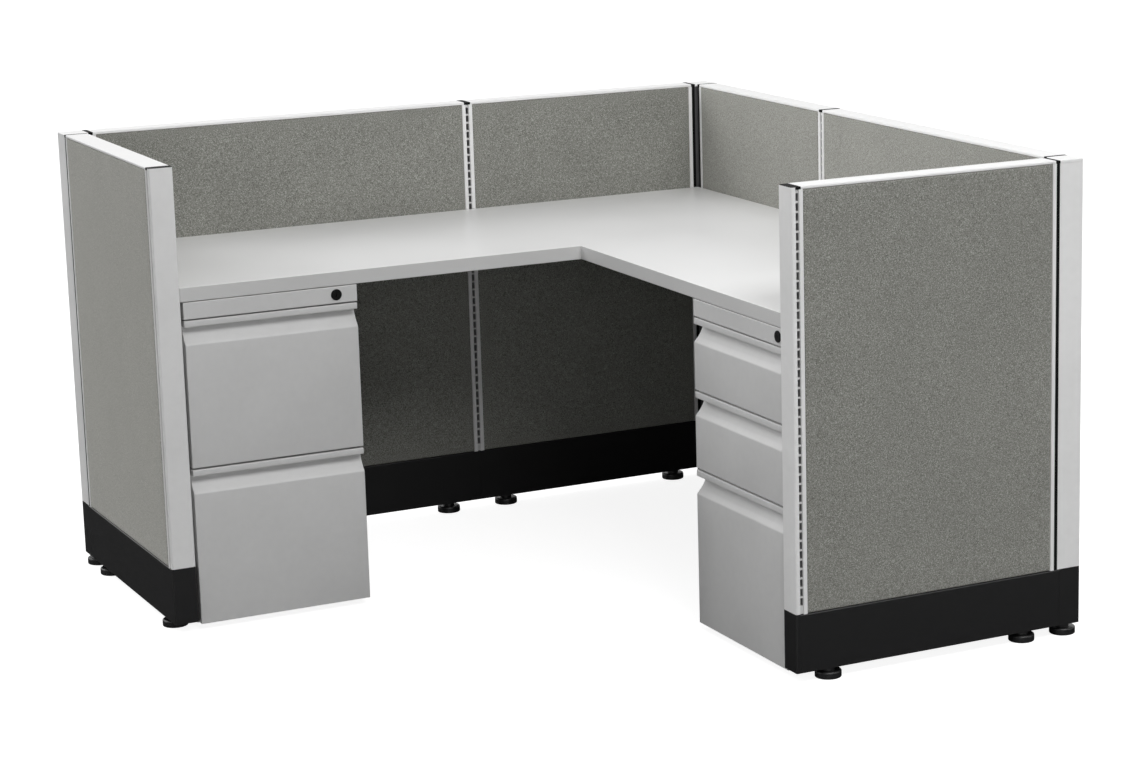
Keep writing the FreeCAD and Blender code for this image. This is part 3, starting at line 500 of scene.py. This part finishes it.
# ------------------------------------------------------------------ stage
def stage():
    """A pale floor, a pale surround that only the camera sees, and soft light."""
    me = bpy.data.meshes.new("floor")
    bm = bmesh.new()
    bmesh.ops.create_grid(bm, x_segments=2, y_segments=2, size=40)
    bm.to_mesh(me)
    bm.free()
    f = bpy.data.objects.new("floor", me)
    scene.collection.objects.link(f)
    k = Mat("floor_paint", rough=0.8, spec=0.0)
    k.b.inputs["Base Color"].default_value = (0.50, 0.50, 0.50, 1)
    k.b.inputs["Emission Color"].default_value = (1, 1, 1, 1)
    k.b.inputs["Emission Strength"].default_value = 0.88
    paint(f, k.m)
    f.visible_diffuse = False
    f.visible_glossy = False

    me = bpy.data.meshes.new("surround")
    bm = bmesh.new()
    bmesh.ops.create_uvsphere(bm, u_segments=48, v_segments=24, radius=30)
    bm.to_mesh(me)
    bm.free()
    d = bpy.data.objects.new("surround", me)
    scene.collection.objects.link(d)
    k = Mat("surround_paint", rough=1.0, spec=0.0)
    k.b.inputs["Base Color"].default_value = (0, 0, 0, 1)
    k.b.inputs["Emission Color"].default_value = (1, 1, 1, 1)
    k.b.inputs["Emission Strength"].default_value = 1.0
    paint(d, k.m)
    for what in ("diffuse", "glossy", "transmission", "volume_scatter", "shadow"):
        setattr(d, "visible_" + what, False)

    world = bpy.data.worlds.new("studio")
    world.use_nodes = True
    nt = world.node_tree
    bg = nt.nodes["Background"]
    co = nt.nodes.new("ShaderNodeTexCoord")
    sep = nt.nodes.new("ShaderNodeSeparateXYZ")
    nt.links.new(co.outputs["Generated"], sep.inputs[0])

    def math_node(op, a, b, c=0.0):
        m = nt.nodes.new("ShaderNodeMath")
        m.operation = op
        for sock, v in zip(m.inputs, (a, b, c)):
            if isinstance(v, float):
                sock.default_value = v
            else:
                nt.links.new(v, sock)
        return m.outputs[0]

    def curve(sock, stops):
        r = nt.nodes.new("ShaderNodeValToRGB")
        el = r.color_ramp.elements
        el[0].position, el[0].color = stops[0][0], (stops[0][1],) * 3 + (1,)
        el[1].position, el[1].color = stops[-1][0], (stops[-1][1],) * 3 + (1,)
        for pos, v in stops[1:-1]:
            el.new(pos).color = (v, v, v, 1)
        nt.links.new(sock, r.inputs["Fac"])
        return r.outputs["Color"]

    x, y, z = sep.outputs
    xh = math_node("MULTIPLY_ADD", x, 0.5, 0.5)
    yh = math_node("MULTIPLY_ADD", y, 0.5, 0.5)
    low = curve(z, [(0.0, 0.0), (0.01, 1.0), (0.20, 1.0), (0.32, 0.0), (1.0, 0.0)])
    wide = curve(z, [(0.0, 0.0), (0.01, 1.0), (0.58, 1.0), (0.70, 0.0), (1.0, 0.0)])
    high = curve(z, [(0.0, 0.0), (0.58, 0.0), (0.70, 1.0), (1.0, 1.0)])
    left = curve(xh, [(0.0, 1.0), (0.25, 0.8), (0.5, 0.0), (1.0, 0.0)])
    right = curve(xh, [(0.0, 0.0), (0.5, 0.0), (0.8, 0.7), (1.0, 1.0)])
    front = curve(yh, [(0.0, 1.0), (0.4, 1.0), (0.5, 0.0), (1.0, 0.0)])
    back = curve(yh, [(0.0, 0.0), (0.5, 0.0), (0.6, 1.0), (1.0, 1.0)])
    side = math_node("MULTIPLY_ADD", left, SKY["left"], math_node("MULTIPLY", front, SKY["front"]))
    side = math_node("MULTIPLY_ADD", right, SKY["right"], side)
    total = math_node("MULTIPLY_ADD", low, side, math_node("MULTIPLY", high, SKY["top"]))
    total = math_node("MULTIPLY_ADD", math_node("MULTIPLY", wide, back), SKY["back"], total)
    nt.links.new(total, bg.inputs[1])
    bg.inputs[0].default_value = (1, 1, 1, 1)
    scene.world = world

    def area(name, loc, target, size, power, col=(1, 1, 1)):
        d = bpy.data.lights.new(name, "AREA")
        d.shape = "RECTANGLE"
        d.size, d.size_y = size
        d.energy = power
        d.color = col
        o = bpy.data.objects.new(name, d)
        scene.collection.objects.link(o)
        o.location = loc
        o.rotation_mode = "QUATERNION"
        o.rotation_quaternion = (Vector(target) - Vector(loc)).to_track_quat("-Z", "Y")
        return o

    for row in LIGHTS:
        area(*row)


# How bright the soft surround is, low at the left and right, low in front,
# overhead and behind, and the softboxes: place, target, size, watts.
SKY = {"left": 1.15, "right": 0.62, "front": 0.20, "top": 0.575, "back": 1.06}
LIGHTS = [
    ("front", (0.6, -4.2, 4.6), (0.2, -0.2, 0.5), (4.0, 2.0), 133),
    ("right", (4.2, -4.6, 1.3), (0.5, -0.8, 0.5), (3.0, 1.8), 30),
    ("low", (-1.0, -5.0, 1.0), (0.0, 0.0, 0.5), (3.0, 1.6), 26),
    ("rear", (-3.4, 3.6, 4.2), (0.0, 0.0, 0.5), (3.4, 2.6), 80),
]


stage()
scene.view_settings.view_transform = "Standard"
scene.view_settings.look = "None"
scene.view_settings.exposure = 0.0
